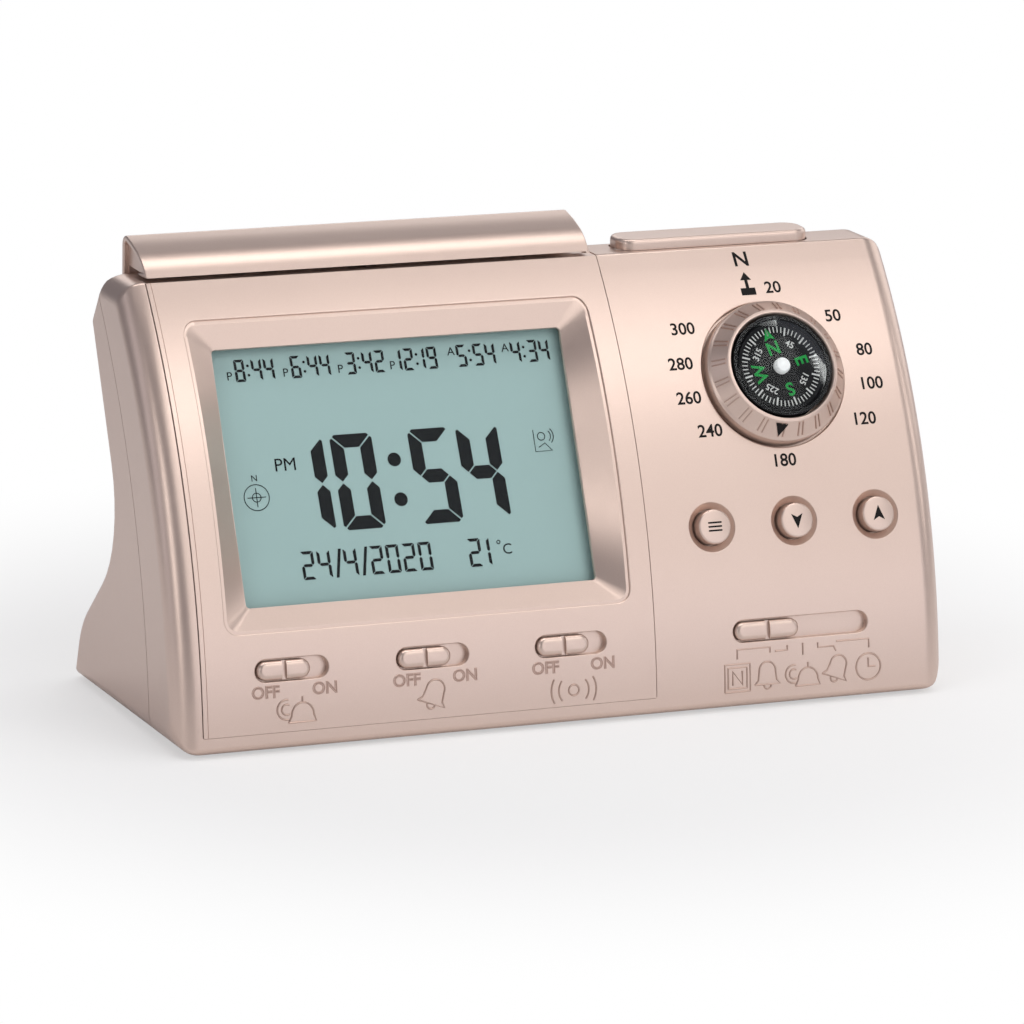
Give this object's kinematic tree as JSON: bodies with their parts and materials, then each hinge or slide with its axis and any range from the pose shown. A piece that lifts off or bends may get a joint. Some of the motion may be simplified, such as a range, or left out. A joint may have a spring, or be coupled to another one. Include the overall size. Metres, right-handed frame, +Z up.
{
  "type": "azan clock",
  "caption": "Desk clock with a curved front, a framed display, a domed compass dial, push buttons, slide switches and two keys on top.",
  "frame": {"origin": "middle of the clock's width and depth, on the surface that the rubber feet rest on", "axes": "+X runs across the front from the display to the compass side, +Y runs from the front to the back, +Z is up"},
  "size_m": [0.165, 0.064, 0.0932],
  "materials": {
    "rose_paint": "moulded plastic with a satin rose gold metallic paint",
    "clear_window": "clear polished acrylic",
    "display_glass": "grey green reflective liquid crystal glass with a front polariser",
    "ivory_plastic": "moulded ivory plastic",
    "silicone": "striped conductive silicone strip",
    "circuit_board": "green solder mask on glass fibre laminate",
    "black_plastic": "black moulded plastic",
    "grey_plastic": "grey moulded plastic",
    "black_rubber": "matt black rubber",
    "steel": "plain nickel plated steel",
    "brass": "turned brass",
    "ferrite": "dark grey sintered ferrite",
    "cone_paper": "black pressed paper",
    "cell_sleeve": "plain printed sleeve on a steel can"
  },
  "bodies": {
    "case": {"front_case": "rose_paint", "rear_case": "rose_paint", "display_panel": "rose_paint", "display_lens": "clear_window", "lcd_glass": "display_glass", "light_guide": "ivory_plastic", "lcd_carrier": "ivory_plastic", "contact_strip_upper": "silicone", "contact_strip_lower": "silicone", "main_board": "circuit_board", "main_chip": "black_plastic", "azan_switch_body": "steel", "alarm_switch_body": "steel", "snooze_switch_body": "steel", "switch_board": "circuit_board", "mode_switch_body": "steel", "button_mat": "black_rubber", "control_board": "circuit_board", "compass_housing": "black_plastic", "compass_pivot": "brass", "compass_lens": "clear_window", "key_board": "circuit_board", "snooze_push_switch": "black_plastic", "light_push_switch": "black_plastic", "speaker_frame": "steel", "speaker_magnet": "ferrite", "speaker_cone": "cone_paper", "battery_1": "cell_sleeve", "battery_2": "cell_sleeve", "front_contact_plate": "steel", "rear_contact_plate": "steel", "link_contact_plate": "steel", "case_screw_1": "steel", "case_screw_2": "steel", "case_screw_3": "steel", "case_screw_4": "steel", "rubber_foot_1": "black_rubber", "rubber_foot_2": "black_rubber", "rubber_foot_3": "black_rubber", "rubber_foot_4": "black_rubber"},
    "direction_ring": {"direction_ring": "rose_paint", "ring_retainer": "grey_plastic"},
    "compass_card": {"compass_card": "black_plastic"},
    "azan_switch_knob": {"azan_switch_knob": "rose_paint"},
    "alarm_switch_knob": {"alarm_switch_knob": "rose_paint"},
    "snooze_switch_knob": {"snooze_switch_knob": "rose_paint"},
    "mode_knob": {"mode_knob": "rose_paint"},
    "set_button": {"set_button": "rose_paint"},
    "down_button": {"down_button": "rose_paint"},
    "up_button": {"up_button": "rose_paint"},
    "snooze_bar": {"snooze_bar": "rose_paint"},
    "light_key": {"light_key": "rose_paint"},
    "battery_door": {"battery_door": "rose_paint"}
  },
  "joints": [
    {"name": "ring_turn", "type": "hinge", "parent": "case", "child": "direction_ring", "pos_m": [0.0507, -0.012, 0.0639], "axis": [0, -0.8582, 0.5133], "continuous": true},
    {"name": "card_turn", "type": "hinge", "parent": "case", "child": "compass_card", "pos_m": [0.0507, -0.012, 0.0639], "axis": [0, -0.8582, 0.5133], "continuous": true},
    {"name": "azan_slide", "type": "slide", "parent": "case", "child": "azan_switch_knob", "axis": [1, 0, 0], "range_m": [0, 0.0035]},
    {"name": "alarm_slide", "type": "slide", "parent": "case", "child": "alarm_switch_knob", "axis": [1, 0, 0], "range_m": [0, 0.0035]},
    {"name": "snooze_slide", "type": "slide", "parent": "case", "child": "snooze_switch_knob", "axis": [1, 0, 0], "range_m": [0, 0.0035]},
    {"name": "mode_slide", "type": "slide", "parent": "case", "child": "mode_knob", "axis": [1, 0, 0], "range_m": [0, 0.015]},
    {"name": "set_press", "type": "slide", "parent": "case", "child": "set_button", "axis": [0, 0.9462, -0.3236], "range_m": [0, 0.001], "stiffness_N_per_m": 1200, "springref_m": -0.0003},
    {"name": "down_press", "type": "slide", "parent": "case", "child": "down_button", "axis": [0, 0.9462, -0.3236], "range_m": [0, 0.001], "stiffness_N_per_m": 1200, "springref_m": -0.0003},
    {"name": "up_press", "type": "slide", "parent": "case", "child": "up_button", "axis": [0, 0.9462, -0.3236], "range_m": [0, 0.001], "stiffness_N_per_m": 1200, "springref_m": -0.0003},
    {"name": "bar_press", "type": "slide", "parent": "case", "child": "snooze_bar", "axis": [0, 0, -1], "range_m": [0, 0.0008], "stiffness_N_per_m": 1500, "springref_m": -0.0004},
    {"name": "light_press", "type": "slide", "parent": "case", "child": "light_key", "axis": [0, 0, -1], "range_m": [0, 0.0008], "stiffness_N_per_m": 1500, "springref_m": -0.0004},
    {"name": "door_slide", "type": "slide", "parent": "case", "child": "battery_door", "axis": [0, 1, 0], "range_m": [0, 0.03]}
  ]
}
